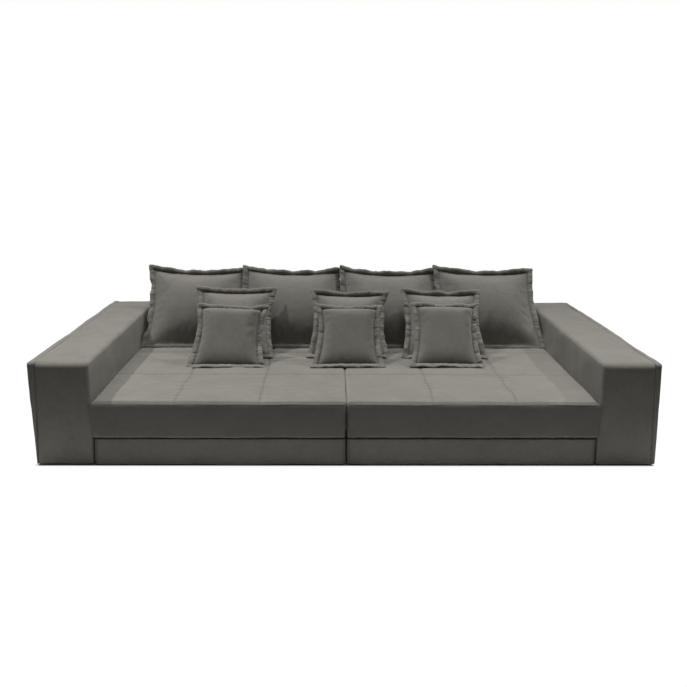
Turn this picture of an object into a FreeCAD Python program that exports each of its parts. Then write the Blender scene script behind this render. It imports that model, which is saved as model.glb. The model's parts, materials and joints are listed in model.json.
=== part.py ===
import FreeCAD, Part
import math
import os
import re

# Driving dimensions in millimetres, and the cushions' lean from upright in degrees
SIZES = {
    "overall_width": 3500,
    "overall_depth": 1876,
    "arm_height": 600,
    "arm_width": 337,
    "side_panel_thickness": 27,
    "back_thickness": 250,
    "centre_gap": 8,
    "seat_height": 380,
    "seat_side_gap": 1,
    "base_height": 155,
    "plinth_setback": 8,
    "plinth_board_thickness": 15,
    "plinth_fold": 3,
    "glide_height": 10,
    "glide_radius": 20,
    "glide_foot_radius": 16,
    "glide_inset": 70,
    "dust_cover_thickness": 1.5,
    "rail_thickness": 25,
    "frame_rail": 40,
    "ladder_thickness": 25,
    "strap_width": 60,
    "strap_margin": 20,
    "webbing_thickness": 3,
    "cover_thickness": 4,
    "arm_top_foam": 30,
    "arm_side_foam": 20,
    "arm_end_foam": 20,
    "back_top_foam": 30,
    "back_front_foam": 40,
    "back_rear_foam": 12,
    "back_end_foam": 12,
    "upholstery_radius": 30,
    "panel_edge_radius": 8,
    "plinth_edge_radius": 8,
    "seat_edge_radius": 32,
    "seat_quilt": 36,
    "seat_boxing": 6,
    "channel_width": 80,
    "channel_depth": 9,
    "channel_row_depth": 565,
    "bolt_radius": 4,
    "bolt_clearance": 0.3,
    "bolt_head_radius": 10,
    "bolt_head_height": 4,
    "nut_radius": 7.5,
    "nut_height": 6.5,
    "bolt_end": 3,
    "spacer_radius": 18,
    "cushion_lean": 45,
    "cushion_rest_gap": 0.3,
    "cushion_layer_gap": 1,
    "cushion_skin": 3,
    "cushion_fill_gap": 0.4,
    "flange_width": 45,
    "flange_thickness": 8,
    "resting_edge_draw": 5,
    "large_height": 700,
    "large_side_gap": 6.5,
    "large_crown": 120,
    "large_draw": 36,
    "medium_size": 580,
    "medium_crown": 88,
    "medium_draw": 24,
    "small_size": 490,
    "small_crown": 80,
    "small_draw": 18,
    "scatter_offset": 26,
    "scatter_left_gap": 196,
    "scatter_right_gap": 66,
}
SIDES = {"left": -1, "right": 1}
CROSS_RAILS = 4
BACK_LADDERS = 4
STRAPS = 11
SEAT_PANELS = 3
SEAT_ROWS = 3
LARGE_CUSHIONS = 4
SCATTER_PLACES = ("left", "middle", "right")
# A cushion's sections as shares of its outline, from seam to crown, how fast it swells from the seam,
# and the share at which its sides turn from drawn in to bulging out
CUSHION_SECTIONS = (1.0, 0.92, 0.78, 0.5, 0.16)
CUSHION_SWELL = 2.7
CUSHION_TURN = 0.68

# Places shared by several pieces, for the right half
HALF = "overall_width / 2"
FRONT = "-overall_depth / 2"
REAR = "overall_depth / 2"
MIDDLE = "centre_gap / 2"
ARM_INNER = "(overall_width / 2 - arm_width)"
PANEL_INNER = "(overall_width / 2 - side_panel_thickness)"
BACK_FRONT = "(overall_depth / 2 - back_thickness)"
UNDERSIDE = "(glide_height + dust_cover_thickness)"
SEAT_UNDERSIDE = "(base_height + webbing_thickness)"
SEAT_END = f"({ARM_INNER} - seat_side_gap)"
PLINTH_FRONT = f"({FRONT} + plinth_setback)"
PLINTH_REAR = f"({PLINTH_FRONT} + cover_thickness + plinth_board_thickness)"
BOLT_LEVEL = f"({UNDERSIDE} + frame_rail / 2)"
BASE_LEVEL = f"(({UNDERSIDE} + base_height) / 2)"
HOLE_RADIUS = "(bolt_radius + bolt_clearance)"

doc = FreeCAD.newDocument("sofa")
sheet = doc.addObject("Spreadsheet::Sheet", "Dimensions")
for row, (alias, value) in enumerate(SIZES.items(), start=1):
    sheet.set(f"A{row}", alias)
    sheet.set(f"B{row}", str(value))
    sheet.setAlias(f"B{row}", alias)
doc.recompute()

ALIAS = re.compile(r"\b(" + "|".join(SIZES) + r")\b")
nodes = []


def bound(words):
    """An expression on the sheet's cells, from one written in their bare names."""
    return ALIAS.sub(r"Dimensions.\1", words)


def measure(words):
    """What such an expression comes to now."""
    return float(sheet.evalExpression(bound(words)))


def spread(start, end, count):
    """Evenly spaced places from start to end."""
    return [f"({start} + ({end} - ({start})) * {k} / {count - 1})" for k in range(count)]


def bays(places, width):
    """The middles of the bays between pieces of one width that start at the given places."""
    return [f"(({low} + {high} + {width}) / 2)" for low, high in zip(places, places[1:])]


def sided(x, side):
    """A place on the right half, taken to its own side."""
    return f"({SIDES[side]} * ({x}))"


def bind_place(item, corner):
    for axis, words in zip("xyz", corner):
        item.setExpression(f"Placement.Base.{axis}", bound(words))


def box(name, low, high, side="right"):
    """A box between two corners, given for the right half."""
    if side == "left":
        low, high = (f"(-({high[0]}))", *low[1:]), (f"(-({low[0]}))", *high[1:])
    item = doc.addObject("Part::Box", name)
    for length, start, end in zip(("Length", "Width", "Height"), low, high):
        item.setExpression(length, bound(f"{end} - ({start})"))
    bind_place(item, low)
    return item


def cylinder(name, radius, length, start, direction):
    item = doc.addObject("Part::Cylinder", name)
    item.setExpression("Radius", bound(radius))
    item.setExpression("Height", bound(length))
    turn = FreeCAD.Rotation(FreeCAD.Vector(0, 0, 1), FreeCAD.Vector(*direction))
    item.Placement = FreeCAD.Placement(FreeCAD.Vector(), turn)
    bind_place(item, start)
    return item


def group(name, items):
    item = doc.addObject("Part::Compound", name)
    item.Links = items
    return item


def cut(name, base, tool):
    item = doc.addObject("Part::Cut", name)
    item.Base = base
    item.Tool = tool
    return item


def rounded(name, base, radius, side, *edges):
    """The box with some edges rounded, each edge named by the two faces that meet in it."""
    doc.recompute()
    bounds = base.Shape.BoundBox
    inner, outer = (bounds.XMin, bounds.XMax) if side == "right" else (bounds.XMax, bounds.XMin)
    faces = {
        "inner": (0, inner),
        "outer": (0, outer),
        "front": (1, bounds.YMin),
        "rear": (1, bounds.YMax),
        "bottom": (2, bounds.ZMin),
        "top": (2, bounds.ZMax),
    }
    size = measure(radius)
    picked = []
    for number, edge in enumerate(base.Shape.Edges, start=1):
        for pair in edges:
            planes = [faces[face] for face in pair]
            ends = [vertex.Point for vertex in edge.Vertexes]
            if all(math.isclose(end[axis], at, abs_tol=1e-6) for end in ends for axis, at in planes):
                picked.append((number, size, size))
    item = doc.addObject("Part::Fillet", name)
    item.Base = base
    item.Edges = picked
    return item


def node(item, name):
    item.Label = name
    nodes.append(item)
    return item


def inset(low, high, by):
    """A box's corners moved in from its named faces."""
    low = (f"({low[0]} + {by.get('inner', 0)})", f"({low[1]} + {by.get('front', 0)})", low[2])
    high = (high[0], f"({high[1]} - {by.get('rear', 0)})", f"({high[2]} - {by.get('top', 0)})")
    return low, high


# Base of a half: rails, straps, plinth, dust cover
CROSS_PLACES = spread(PLINTH_REAR, f"({BACK_FRONT} - rail_thickness)", CROSS_RAILS)
BASE_BAYS = bays(CROSS_PLACES, "rail_thickness")


def base(side, arm_holes, back_holes, middle_holes):
    rail_inner = f"({MIDDLE} + rail_thickness)"
    rail_outer = f"({ARM_INNER} - rail_thickness)"
    rails = []
    for y in CROSS_PLACES:
        high = (rail_outer, f"({y} + rail_thickness)", "base_height")
        rails.append(box(f"cross_rail_{side}", (rail_inner, y, UNDERSIDE), high, side))
    rails = group(f"cross_rails_{side}", rails)
    node(cut(f"cross_rails_drilled_{side}", rails, back_holes), f"base_cross_rails_{side}")

    rails = []
    for x in (MIDDLE, rail_outer):
        high = (f"({x} + rail_thickness)", BACK_FRONT, "base_height")
        rails.append(box(f"end_rail_{side}", (x, PLINTH_REAR, UNDERSIDE), high, side))
    rails = group(f"end_rails_{side}", rails)
    holes = group(f"end_rail_holes_{side}", [arm_holes, middle_holes])
    node(cut(f"end_rails_drilled_{side}", rails, holes), f"base_end_rails_{side}")

    first = f"({rail_inner} + strap_margin)"
    last = f"({rail_outer} - strap_margin - strap_width)"
    straps = []
    for x in spread(first, last, STRAPS):
        high = (f"({x} + strap_width)", BACK_FRONT, SEAT_UNDERSIDE)
        straps.append(box(f"strap_{side}", (x, PLINTH_REAR, "base_height"), high, side))
    node(group(f"straps_{side}", straps), f"seat_webbing_{side}")

    low = (MIDDLE, PLINTH_FRONT, UNDERSIDE)
    high = (SEAT_END, PLINTH_REAR, "base_height")
    skin = box(f"plinth_skin_{side}", low, high, side)
    skin = rounded(f"plinth_rounded_{side}", skin, "plinth_edge_radius", side, ("top", "front"))
    board_low = (MIDDLE, f"({PLINTH_FRONT} + cover_thickness)", f"({UNDERSIDE} + plinth_fold)")
    board_high = (SEAT_END, PLINTH_REAR, "(base_height - plinth_fold)")
    board = box(f"plinth_{side}", board_low, board_high, side)
    node(board, f"plinth_board_{side}")
    node(cut(f"plinth_cut_{side}", skin, board), f"plinth_cover_{side}")

    low = (MIDDLE, PLINTH_FRONT, "glide_height")
    node(box(f"dust_{side}", low, (PANEL_INNER, REAR, UNDERSIDE), side), f"dust_cover_{side}")


def seat(side):
    """Quilted cover with rounded edges and sewn channels over a foam block."""
    low = (MIDDLE, FRONT, SEAT_UNDERSIDE)
    high = (SEAT_END, BACK_FRONT, "seat_height")
    block = box(f"seat_block_{side}", low, high, side)
    edges = [("top", face) for face in ("front", "inner", "outer")]
    block = rounded(f"seat_rounded_{side}", block, "seat_edge_radius", side, *edges)
    radius = "((channel_width ^ 2 / 4 + channel_depth ^ 2) / (2 * channel_depth))"
    level = f"(seat_height - channel_depth + {radius})"
    channels = []
    for x in spread(MIDDLE, SEAT_END, SEAT_PANELS + 1)[1:-1]:
        start = (sided(x, side), FRONT, level)
        channels.append(cylinder(f"channel_{side}", radius, "overall_depth", start, (0, 1, 0)))
    for k in range(1, SEAT_ROWS):
        start = (f"(-{HALF})", f"({FRONT} + channel_row_depth * {k})", level)
        channels.append(cylinder(f"cross_channel_{side}", radius, "overall_width", start, (1, 0, 0)))
    quilted = cut(f"seat_quilted_{side}", block, group(f"channels_{side}", channels))
    foam_low = (f"({MIDDLE} + seat_boxing)", f"({FRONT} + seat_boxing)", SEAT_UNDERSIDE)
    foam_rear = f"({BACK_FRONT} - seat_boxing)"
    foam_high = (f"({SEAT_END} - seat_boxing)", foam_rear, "(seat_height - seat_quilt)")
    foam = node(box(f"seat_core_{side}", foam_low, foam_high, side), f"seat_foam_{side}")
    node(cut(f"seat_cut_{side}", quilted, foam), f"seat_cover_{side}")


def upholstered(part, side, low, high, pads, edges, holes):
    """A cover and its foam round a hollow core, open below; gives the core's corners."""
    skins = {face: "cover_thickness" for face in pads}
    cavity = inset(low, high, skins)
    core = inset(*cavity, pads)
    name = f"{part}_{side}"
    skin = box(f"{name}_outer", low, high, side)
    skin = rounded(f"{name}_skin", skin, "upholstery_radius", side, *edges)
    pad = box(f"{name}_pad", *cavity, side)
    pad = rounded(f"{name}_pad_rounded", pad, "upholstery_radius - cover_thickness", side, *edges)
    foam = cut(f"{name}_hollow", pad, box(f"{name}_core", *core, side))
    node(cut(f"{name}_foam_drilled", foam, holes), f"{part}_foam_{side}")
    cover = cut(f"{name}_shell", skin, pad)
    node(cut(f"{name}_shell_drilled", cover, holes), f"{part}_cover_{side}")
    return core


def frame(part, side, core, along, stations, holes):
    """Four long rails at the core's corners, and between them ladders of two posts and two spreaders."""
    low, high = core
    across = 1 - along
    starts = (low[across], f"({high[across]} - frame_rail)")
    levels = (low[2], f"({high[2]} - frame_rail)")

    def member(kind, run, cross, upright):
        corners = [None, None]
        for end in (0, 1):
            spot = [None, None, upright[end]]
            spot[along] = run[end]
            spot[across] = cross[end]
            corners[end] = tuple(spot)
        return box(f"{part}_{kind}_{side}", *corners, side)

    crosses = [(start, f"({start} + frame_rail)") for start in starts]
    uprights = [(level, f"({level} + frame_rail)") for level in levels]
    run = (low[along], high[along])
    rails = [member("rail", run, cross, upright) for cross in crosses for upright in uprights]
    rails = group(f"{part}_rail_group_{side}", rails)
    node(cut(f"{part}_rails_drilled_{side}", rails, holes), f"{part}_rails_{side}")

    between = (crosses[0][1], crosses[1][0])
    clear = (uprights[0][1], uprights[1][0])
    ladders = []
    for station in stations(low[along], high[along]):
        run = (station, f"({station} + ladder_thickness)")
        ladders += [member("post", run, cross, clear) for cross in crosses]
        ladders += [member("spreader", run, between, upright) for upright in uprights]
    node(group(f"{part}_ladder_group_{side}", ladders), f"{part}_ladders_{side}")


def arm_stations(start, end):
    """Ladders at both ends of the arm and level with the base's cross rails behind the first."""
    return [start, *CROSS_PLACES[1:], f"({end} - ladder_thickness)"]


def back_stations(start, end):
    return spread(start, f"({end} - ladder_thickness)", BACK_LADDERS)


ARM_PADS = {
    "inner": "arm_side_foam",
    "front": "arm_end_foam",
    "rear": "arm_end_foam",
    "top": "arm_top_foam",
}
ARM_BOX = (ARM_INNER, FRONT, UNDERSIDE), (PANEL_INNER, REAR, "arm_height")
BACK_PADS = {
    "inner": "back_end_foam",
    "front": "back_front_foam",
    "rear": "back_rear_foam",
    "top": "back_top_foam",
}
BACK_BOX = (MIDDLE, BACK_FRONT, UNDERSIDE), (ARM_INNER, REAR, "arm_height")
BACK_CORE_INNER = f"({MIDDLE} + cover_thickness + back_end_foam)"
BACK_BAYS = bays(back_stations(BACK_CORE_INNER, ARM_INNER), "ladder_thickness")


def arm(side, holes):
    edges = [("top", face) for face in ("inner", "front", "rear")]
    core = upholstered("arm", side, *ARM_BOX, ARM_PADS, edges, holes)
    frame("arm", side, core, 1, arm_stations, holes)
    panel = box(f"panel_{side}", (PANEL_INNER, FRONT, UNDERSIDE), (HALF, REAR, "arm_height"), side)
    edges = [(face, end) for face in ("inner", "outer") for end in ("front", "rear", "top")]
    edges += [("top", "front"), ("top", "rear")]
    panel = rounded(f"panel_rounded_{side}", panel, "panel_edge_radius", side, *edges)
    node(panel, f"arm_side_panel_{side}")


def back(side, holes):
    core = upholstered("back", side, *BACK_BOX, BACK_PADS, [("top", "front"), ("top", "rear")], holes)
    frame("back", side, core, 0, back_stations, holes)


# Bolts: each stack runs from the face under the head to the face under the nut
bolts = []
nuts = []


def bolt_holes(name, stacks, direction):
    """Bolts and nuts through stacks that start at the given places, and the holes that they need."""
    holes = []
    back_way = tuple(-part for part in direction)
    axis = max(range(3), key=lambda k: abs(direction[k]))
    for start, grip in stacks:
        def along(distance):
            spot = list(start)
            spot[axis] = f"({start[axis]} + {direction[axis]} * ({distance}))"
            return spot

        head = cylinder(f"{name}_head", "bolt_head_radius", "bolt_head_height", start, back_way)
        reach = f"({grip} + nut_height + bolt_end)"
        shank = cylinder(f"{name}_shank", "bolt_radius", reach, start, direction)
        bolt = doc.addObject("Part::Fuse", f"{name}_bolt")
        bolt.Base = head
        bolt.Tool = shank
        bolts.append(bolt)
        nut = doc.addObject("Part::Prism", f"{name}_nut_blank")
        nut.setExpression("Circumradius", bound("nut_radius"))
        nut.setExpression("Height", bound("nut_height"))
        turn = FreeCAD.Rotation(FreeCAD.Vector(0, 0, 1), FreeCAD.Vector(*direction))
        nut.Placement = FreeCAD.Placement(FreeCAD.Vector(), turn)
        bind_place(nut, along(grip))
        bore = cylinder(f"{name}_nut_bore", HOLE_RADIUS, "nut_height", along(grip), direction)
        nuts.append(cut(f"{name}_nut", nut, bore))
        holes.append(cylinder(f"{name}_hole", HOLE_RADIUS, grip, start, direction))
    return group(f"{name}_holes", holes)


def arm_bolts(side):
    start = f"({ARM_INNER} + cover_thickness + arm_side_foam + frame_rail)"
    grip = "(frame_rail + arm_side_foam + cover_thickness + rail_thickness)"
    stacks = [((sided(start, side), y, BOLT_LEVEL), grip) for y in BASE_BAYS]
    return bolt_holes(f"arm_{side}", stacks, (-SIDES[side], 0, 0))


def back_bolts(side):
    start = f"({BACK_FRONT} + cover_thickness + back_front_foam + frame_rail)"
    grip = "(frame_rail + back_front_foam + cover_thickness + rail_thickness)"
    stacks = [((sided(x, side), start, BOLT_LEVEL), grip) for x in BACK_BAYS]
    return bolt_holes(f"back_{side}", stacks, (0, -1, 0))


def middle_bolts():
    """Bolts that join the two halves through their end rails, with a spacer on each in the gap."""
    start = f"(-({MIDDLE}) - rail_thickness)"
    ends = (BASE_BAYS[0], BASE_BAYS[-1])
    stacks = [((start, y, BASE_LEVEL), "(2 * rail_thickness + centre_gap)") for y in ends]
    holes = bolt_holes("middle", stacks, (1, 0, 0))
    discs = []
    for y in ends:
        start = (f"(-({MIDDLE}))", y, BASE_LEVEL)
        discs.append(cylinder("spacer_disc", "spacer_radius", "centre_gap", start, (1, 0, 0)))
    node(cut("spacers", group("spacer_discs", discs), holes), "module_spacers")
    return holes


def glides():
    """Tapered glides under both halves, clear of the plinth's front edge."""
    first = f"({MIDDLE} + glide_inset)"
    last = f"({PANEL_INNER} - glide_inset)"
    feet = []
    for side in SIDES:
        for x in spread(first, last, 3):
            for y in spread(f"({PLINTH_FRONT} + glide_inset)", f"({REAR} - glide_inset)", 3):
                foot = doc.addObject("Part::Cone", "glide")
                foot.setExpression("Radius1", bound("glide_foot_radius"))
                foot.setExpression("Radius2", bound("glide_radius"))
                foot.setExpression("Height", bound("glide_height"))
                bind_place(foot, (sided(x, side), y, "0"))
                feet.append(foot)
    node(group("glide_group", feet), "glides")


def outline(half_width, half_height, share, draw, level):
    """An outline about a cushion's middle, its four sides drawn in, the lowest one least."""
    across, up = half_width * share, half_height * share
    turn = share * (share - CUSHION_TURN) / (1 - CUSHION_TURN)
    pull, rest = draw * turn, measure("resting_edge_draw") * turn
    corners = [(-across, -up), (across, -up), (across, up), (-across, up)]
    middles = [(0, rest - up), (across - pull, 0), (0, up - pull), (pull - across, 0)]
    edges = []
    for k, middle in enumerate(middles):
        three = (corners[k], middle, corners[(k + 1) % len(corners)])
        edges.append(Part.Arc(*[FreeCAD.Vector(x, level, z) for x, z in three]).toShape())
    return Part.Wire(edges)


def pillow(half_width, half_height, crown, draw):
    """Two crowned halves that meet at the seam."""
    halves = []
    for face in (-1, 1):
        wires = [
            outline(half_width, half_height, share, draw, face * crown * (1 - share ** CUSHION_SWELL))
            for share in CUSHION_SECTIONS
        ]
        half = Part.makeLoft(wires, True)
        if half.Volume < 0:
            half.reverse()
        halves.append(half)
    return halves[0].fuse(halves[1])


def cushion(name, width, height, crown, draw, x, y):
    """A flanged cover with its filling inside, leaning back on its lower edge."""
    skin, gap = measure("cushion_skin"), measure("cushion_fill_gap")
    thickness, flange = measure("flange_thickness"), measure("flange_width")
    half_width, half_height = width / 2, height / 2
    rim = Part.Face(outline(half_width, half_height, 1, draw, -thickness / 2))
    rim = rim.extrude(FreeCAD.Vector(0, thickness, 0))

    def inner(inward):
        rim_to_seam = flange + 2 * inward
        return pillow(half_width - rim_to_seam, half_height - rim_to_seam, crown - inward, draw)

    cover = inner(0).fuse(rim).cut(inner(skin)).removeSplitter()
    lean = math.radians(measure("cushion_lean"))
    lift = measure("seat_height + cushion_rest_gap") + thickness / 2 * math.sin(lean)
    up_slope = FreeCAD.Vector(0, math.sin(lean), math.cos(lean))
    place = FreeCAD.Vector(x, y, lift) + up_slope * half_height
    turn = FreeCAD.Rotation(FreeCAD.Vector(1, 0, 0), -math.degrees(lean))
    for kind, shape in (("cover", cover), ("fill", inner(skin + gap))):
        item = doc.addObject("Part::Feature", f"{name}_{kind}_solid")
        item.Shape = shape
        item.Placement = FreeCAD.Placement(place, turn)
        node(item, f"{name}_{kind}")


def cushions():
    """Large cushions against the back's rounded top edge, medium ones on those, small ones in front."""
    lean = math.radians(measure("cushion_lean"))
    crowns = {kind: measure(f"{kind}_crown") for kind in ("large", "medium", "small")}
    layer = measure("cushion_layer_gap")
    radius = measure("upholstery_radius")
    rest = measure("cushion_rest_gap")
    foot = measure("seat_height + cushion_rest_gap") + measure("flange_thickness") / 2 * math.sin(lean)
    edge_y = measure(BACK_FRONT) + radius
    edge_z = measure("arm_height") - radius
    reach = crowns["large"] + rest + radius + (edge_z - foot) * math.sin(lean)
    y = edge_y - reach / math.cos(lean)
    pitch = measure(f"2 * {ARM_INNER} / {LARGE_CUSHIONS}")
    width = pitch - measure("large_side_gap")
    height, draw = measure("large_height"), measure("large_draw")
    for k in range(LARGE_CUSHIONS):
        x = pitch * (k - (LARGE_CUSHIONS - 1) / 2)
        cushion(f"back_cushion_{k + 1}", width, height, crowns["large"], draw, x, y)

    middle = measure("scatter_offset")
    left = middle - measure("medium_size + scatter_left_gap")
    right = middle + measure("medium_size + scatter_right_gap")
    behind = "large"
    for kind in ("medium", "small"):
        y -= (crowns[behind] + crowns[kind] + layer) / math.cos(lean)
        size, draw = measure(f"{kind}_size"), measure(f"{kind}_draw")
        for place, x in zip(SCATTER_PLACES, (left, middle, right)):
            cushion(f"{kind}_cushion_{place}", size, size, crowns[kind], draw, x, y)
        behind = kind


middle_holes = middle_bolts()
for side in SIDES:
    arm_holes = arm_bolts(side)
    back_holes = back_bolts(side)
    base(side, arm_holes, back_holes, middle_holes)
    seat(side)
    arm(side, arm_holes)
    back(side, back_holes)
node(group("bolt_group", bolts), "frame_bolts")
node(group("nut_group", nuts), "frame_nuts")
glides()
cushions()
doc.recompute()

failed = [item.Name for item in doc.Objects if {"Invalid", "Error"} & set(item.State)]
failed += [item.Label for item in nodes if item.Shape.isNull() or not item.Shape.isValid()]
if failed:
    raise RuntimeError("not built: " + ", ".join(failed))

os.makedirs("parts", exist_ok=True)
for item in nodes:
    item.Shape.exportStep(f"parts/{item.Label}.step")
    print(item.Label, len(item.Shape.Solids), round(item.Shape.Volume / 1e6, 3), "litres")
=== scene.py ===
"""The looks of a low, deep sofa in two joined halves, with ten loose flanged cushions."""

import json
import math

import bpy
import numpy as np
from mathutils import Matrix, Vector


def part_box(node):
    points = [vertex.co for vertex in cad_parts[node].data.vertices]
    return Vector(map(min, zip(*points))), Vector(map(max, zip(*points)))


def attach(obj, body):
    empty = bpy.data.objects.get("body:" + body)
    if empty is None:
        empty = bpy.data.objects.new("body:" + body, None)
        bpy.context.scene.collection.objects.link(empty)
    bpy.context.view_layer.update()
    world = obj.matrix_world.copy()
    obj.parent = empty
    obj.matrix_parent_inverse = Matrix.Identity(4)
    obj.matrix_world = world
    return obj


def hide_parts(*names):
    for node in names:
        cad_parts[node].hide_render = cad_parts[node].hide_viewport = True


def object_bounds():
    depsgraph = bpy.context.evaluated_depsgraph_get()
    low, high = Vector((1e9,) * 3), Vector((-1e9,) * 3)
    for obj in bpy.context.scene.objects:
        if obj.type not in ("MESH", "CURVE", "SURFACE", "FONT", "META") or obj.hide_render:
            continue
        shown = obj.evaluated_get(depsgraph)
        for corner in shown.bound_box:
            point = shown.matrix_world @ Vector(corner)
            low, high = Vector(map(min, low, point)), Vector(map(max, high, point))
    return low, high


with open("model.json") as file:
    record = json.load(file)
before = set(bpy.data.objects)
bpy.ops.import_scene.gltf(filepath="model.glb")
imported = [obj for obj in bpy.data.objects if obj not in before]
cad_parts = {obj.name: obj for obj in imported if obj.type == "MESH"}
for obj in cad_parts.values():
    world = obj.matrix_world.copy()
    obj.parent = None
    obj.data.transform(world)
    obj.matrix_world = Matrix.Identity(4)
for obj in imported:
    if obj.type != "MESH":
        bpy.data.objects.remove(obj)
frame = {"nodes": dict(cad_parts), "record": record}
CAD_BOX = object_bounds()
SCENE = bpy.context.scene

# The photograph's camera, fitted to the corners of the sofa, with its pitch, pan and roll
IMAGE_SIZE = 687
FOCAL_PIXELS = 819.06
SENSOR = 36.0
CAMERA_PLACE = (-0.0898, -5.2955, 1.7481)
CAMERA_TURNS = (13.378, -0.925, 0.380)

# Light: a far lamp at the right, a broad wash from above, three beams and a dim dome
# Each sun: the way to it, its strength and its width in degrees
SUNS = (
    ("lamp_right", (0.85, 0.45, 1.0), 0.70, 1.2),
    ("top_wash", (0.0, 0.12, 1.0), 1.00, 45.0),
)
# Each beam: its target, the way to its lamp, its power, cone in degrees and radius
BEAMS = (
    ("lamp_left", (-1.7, -0.6, 0.4), (-0.53, 0.22, 1.0), 16500.0, 15.0, 0.4),
    ("beam_left", (-1.6, -1.0, 0.4), (0.0, 0.20, 1.0), 14500.0, 7.5, 1.2),
    ("beam_right", (1.8, -0.6, 0.4), (0.0, 0.20, 1.0), 23000.0, 7.5, 1.2),
)
BEAM_DISTANCE = 30.0
DOME = 0.07

# Floor: its glow to the camera, and its grey to other rays at the sofa and away from it
FLOOR_REACH = 60.0
FLOOR_LEVEL = 1.08
FLOOR_GLOW = 0.88
GLOW_EDGE = (-0.002, 0.012)
FLOOR_GREYS = (0.90, 0.10)
GREY_EDGE = (0.0, 0.9)

GREY = (0.230, 0.2195, 0.193)
WHITE = (1.0, 1.0, 1.0, 1.0)

# Box axes: the pairs that meet in an edge, and each axis with the two after it
PAIRS = ((0, 1), (0, 2), (1, 2))
TURNS = ((0, 1, 2), (1, 2, 0), (2, 0, 1))
# A quad's corners the other way round
OVER = [0, 3, 2, 1]
# A block's grid lines on its rounds, the flatness of its faces and its cloth's shift between them
EDGE_STEPS = 6
FLATNESS = 6
CLOTH_SHIFT = 0.37
# A distance that shows no stitch, and sizes that count as none
FAR = 0.5
NEAR_ZERO = 1e-6
TINY = 1e-12
RIPPLE_RANGE = (0.55, 1.5)


def ripple(points, size, rng, count=16):
    """A smooth random field about 1 high, with bumps about size apart."""
    turn = rng.normal(size=(count, points.shape[1]))
    turn /= np.linalg.norm(turn, axis=1)[:, None]
    turn *= (2 * np.pi / size * rng.uniform(*RIPPLE_RANGE, count))[:, None]
    phase = rng.uniform(0, 2 * np.pi, count)
    return np.sin(points @ turn.T + phase).sum(1) * math.sqrt(2 / count)


def smooth(low, high, value):
    """0 below low, 1 above high and an even ramp between them."""
    share = np.clip((value - low) / (high - low), 0, 1)
    return share * share * (3 - 2 * share)


def fall(low, high, value):
    """1 below low, 0 above high and an even ramp between them."""
    return 1 - smooth(low, high, value)


def grid_quads(index):
    """The quads between the points of a grid."""
    corners = (index[:-1, :-1], index[1:, :-1], index[1:, 1:], index[:-1, 1:])
    return np.stack(corners, -1).reshape(-1, 4)


def normals_of(points, quads):
    """The mesh's vertex normals."""
    a, b, c, d = (points[quads[:, n]] for n in range(4))
    flat = np.cross(c - a, d - b)
    total = np.zeros_like(points)
    for n in range(4):
        np.add.at(total, quads[:, n], flat)
    return total / np.maximum(np.linalg.norm(total, axis=1), TINY)[:, None]


def mesh_piece(name, points, quads, cloth, stitch=None, wear=None, painted_shade=None):
    """A smooth mesh with cloth and stitch maps in metres, its wear, and its painted shade in seams,
    gaps and creases.
    """
    mesh = bpy.data.meshes.new(name)
    mesh.from_pydata(points.tolist(), [], quads.tolist())
    mesh.polygons.foreach_set("use_smooth", np.ones(len(quads), bool))
    if stitch is None:
        stitch = np.full((len(points), 2), FAR)
    for label, places in (("cloth", cloth), ("stitch", stitch)):
        if len(places) == len(points):
            places = places[quads.ravel()]
        layer = mesh.uv_layers.new(name=label)
        layer.data.foreach_set("uv", places.astype(np.float32).ravel())
    for label, values in (("wear", wear), ("painted_shade", painted_shade)):
        layer = mesh.attributes.new(label, "FLOAT", "POINT")
        if values is not None:
            layer.data.foreach_set("value", values.astype(np.float32))
    mesh.update()
    piece = bpy.data.objects.new(name, mesh)
    SCENE.collection.objects.link(piece)
    return piece


def edge_table(names, edges):
    """How far the round of each edge reaches along its two axes."""
    reach = np.zeros((3, 3, 2, 2))
    for a, b in PAIRS:
        for s in (0, 1):
            for t in (0, 1):
                size = edges.get(f"{names[a][s]}_{names[b][t]}", edges["rest"])
                along, across = size if isinstance(size, tuple) else (size, size)
                reach[a, b, s, t] = along
                reach[b, a, t, s] = across
    return reach


def axis_lines(low, high, reach_low, reach_high, cell, lines, steps):
    """Along one axis: each grid line's share of the round, its side and its place."""
    stops = [low + reach_low, *lines, high - reach_high]
    inside = []
    for p, q in zip(stops, stops[1:]):
        inside += list(np.linspace(p, q, max(1, round((q - p) / cell)) + 1))[1:]
    inside = np.array(inside[:-1])
    turn = np.linspace(1, 0, steps + 1)
    share = np.concatenate([turn, np.zeros(len(inside)), turn[::-1]])
    side = np.repeat([0, 0, 1], [len(turn), len(inside), len(turn)])
    place = np.concatenate([np.full(len(turn), np.nan), inside, np.full(len(turn), np.nan)])
    return share, side, place


def box_grid(counts):
    """A box's surface: the grid lines at each point, the quads and their axes."""
    keys, quads, faces = [], [], []
    used = 0
    for a, b, c in TURNS:
        for side in (0, 1):
            grid = np.zeros((counts[b], counts[c], 3), int)
            grid[..., a] = (counts[a] - 1) * side
            grid[..., b] = np.arange(counts[b])[:, None]
            grid[..., c] = np.arange(counts[c])[None, :]
            keys.append(grid.reshape(-1, 3))
            made = grid_quads(used + np.arange(counts[b] * counts[c]).reshape(counts[b], counts[c]))
            used += counts[b] * counts[c]
            quads.append(made if side else made[:, ::-1])
            faces.append(np.full(len(made), a))
    keys = np.concatenate(keys)
    flat = (keys[:, 0] * counts[1] + keys[:, 1]) * counts[2] + keys[:, 2]
    _, first, back = np.unique(flat, return_index=True, return_inverse=True)
    return keys[first], back[np.concatenate(quads)], np.concatenate(faces)


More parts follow.
